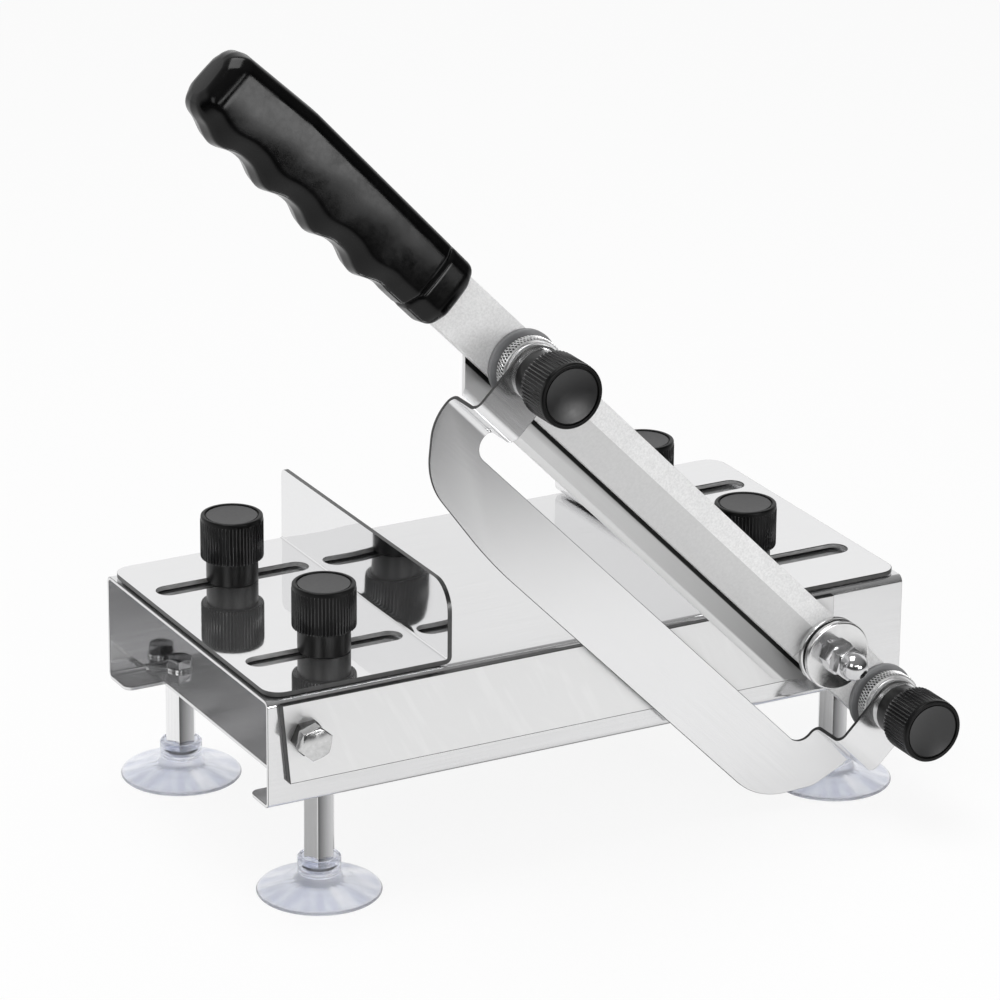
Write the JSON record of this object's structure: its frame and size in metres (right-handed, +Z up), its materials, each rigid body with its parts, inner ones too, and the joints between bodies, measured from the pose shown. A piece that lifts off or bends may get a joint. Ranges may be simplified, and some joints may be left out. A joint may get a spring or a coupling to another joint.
{
  "type": "hand slicer",
  "caption": "Hand slicer: a hinged arm with a straight blade shears food along a steel bed between sliding fences; a bowed plate on the arm sets the slice, suction cups hold it down.",
  "frame": {"origin": "centre of the bed's upper face", "axes": "+X along the bed towards the pivot end, +Y to the back, away from the blade, +Z up"},
  "size_m": [0.3367, 0.2257, 0.3678],
  "materials": {
    "satin_steel": "satin",
    "polished_steel": "polished",
    "black_plastic": "gloss",
    "brass": "satin",
    "grey_rubber": "matte",
    "clear_vinyl": "gloss"
  },
  "bodies": {
    "base": {"base_channel": "satin_steel", "cross_straps": "satin_steel", "foot_bolts": "polished_steel", "foot_washers": "polished_steel", "foot_posts": "satin_steel", "suction_cups": "clear_vinyl", "cup_screws": "polished_steel", "wear_plate": "satin_steel", "stop_bolt": "polished_steel", "stop_lock_nut": "polished_steel", "stop_nut": "polished_steel", "clamp_studs": "polished_steel", "pivot_bolt": "polished_steel", "pivot_back_washer": "polished_steel", "pivot_washers": "polished_steel", "spring_washer": "satin_steel", "pivot_nut": "polished_steel", "dome_nut": "polished_steel"},
    "left_guide": {"left_guide": "polished_steel"},
    "right_guide": {"right_guide": "polished_steel"},
    "left_front_knob": {"left_front_knob": "black_plastic", "left_front_insert": "brass"},
    "left_back_knob": {"left_back_knob": "black_plastic", "left_back_insert": "brass"},
    "right_front_knob": {"right_front_knob": "black_plastic", "right_front_insert": "brass"},
    "right_back_knob": {"right_back_knob": "black_plastic", "right_back_insert": "brass"},
    "arm": {"arm_bar": "satin_steel", "pivot_bush": "brass", "blade": "polished_steel", "handle": "black_plastic", "upper_stud": "polished_steel", "lower_stud": "polished_steel", "stud_pads": "grey_rubber"},
    "gauge": {"gauge_plate": "polished_steel", "gauge_washers": "polished_steel"},
    "upper_gauge_knob": {"upper_gauge_knob": "black_plastic", "upper_gauge_insert": "brass"},
    "lower_gauge_knob": {"lower_gauge_knob": "black_plastic", "lower_gauge_insert": "brass"},
    "upper_gauge_nut": {"upper_gauge_nut": "polished_steel"},
    "lower_gauge_nut": {"lower_gauge_nut": "polished_steel"}
  },
  "joints": [
    {"name": "arm_hinge", "type": "hinge", "parent": "base", "child": "arm", "pos_m": [0.1056, -0.0872, -0.0207], "axis": [0, 1, 0], "range_deg": [-39.5, 40]},
    {"name": "left_guide_slide", "type": "slide", "parent": "base", "child": "left_guide", "axis": [1, 0, 0], "range_m": [-0.0255, 0.0305]},
    {"name": "right_guide_slide", "type": "slide", "parent": "base", "child": "right_guide", "axis": [1, 0, 0], "range_m": [-0.0465, 0.0097]},
    {"name": "left_front_knob_turn", "type": "hinge", "parent": "base", "child": "left_front_knob", "pos_m": [-0.1076, -0.04325, 0.0128], "axis": [0, 0, 1], "range_deg": [-36, 1080]},
    {"name": "left_back_knob_turn", "type": "hinge", "parent": "base", "child": "left_back_knob", "pos_m": [-0.1076, 0.04325, 0.0128], "axis": [0, 0, 1], "range_deg": [-36, 1080]},
    {"name": "right_front_knob_turn", "type": "hinge", "parent": "base", "child": "right_front_knob", "pos_m": [0.0918, -0.04325, 0.0128], "axis": [0, 0, 1], "range_deg": [-36, 1080]},
    {"name": "right_back_knob_turn", "type": "hinge", "parent": "base", "child": "right_back_knob", "pos_m": [0.0918, 0.04325, 0.0128], "axis": [0, 0, 1], "range_deg": [-36, 1080]},
    {"name": "gauge_slide", "type": "slide", "parent": "arm", "child": "gauge", "axis": [0, -1, 0], "range_m": [-0.0022, 0.0121]},
    {"name": "upper_gauge_knob_turn", "type": "hinge", "parent": "gauge", "child": "upper_gauge_knob", "pos_m": [-0.04361, -0.1052, 0.13061], "axis": [0, -1, 0], "range_deg": [-600, 3450]},
    {"name": "upper_gauge_nut_turn", "type": "hinge", "parent": "gauge", "child": "upper_gauge_nut", "pos_m": [-0.04361, -0.1022, 0.13061], "axis": [0, -1, 0], "range_deg": [-605, 3455]},
    {"name": "lower_gauge_knob_turn", "type": "hinge", "parent": "gauge", "child": "lower_gauge_knob", "pos_m": [0.13158, -0.1052, -0.04704], "axis": [0, -1, 0], "range_deg": [-605, 3455]},
    {"name": "lower_gauge_nut_turn", "type": "hinge", "parent": "gauge", "child": "lower_gauge_nut", "pos_m": [0.13158, -0.1022, -0.04704], "axis": [0, -1, 0], "range_deg": [-605, 3455]}
  ],
  "couplings": [
    {"joint": "gauge_slide", "follows": "upper_gauge_knob_turn", "m_per_rad": 0.00019894},
    {"joint": "lower_gauge_knob_turn", "follows": "upper_gauge_knob_turn", "ratio": 1},
    {"joint": "upper_gauge_nut_turn", "follows": "upper_gauge_knob_turn", "ratio": 1},
    {"joint": "lower_gauge_nut_turn", "follows": "upper_gauge_knob_turn", "ratio": 1}
  ]
}
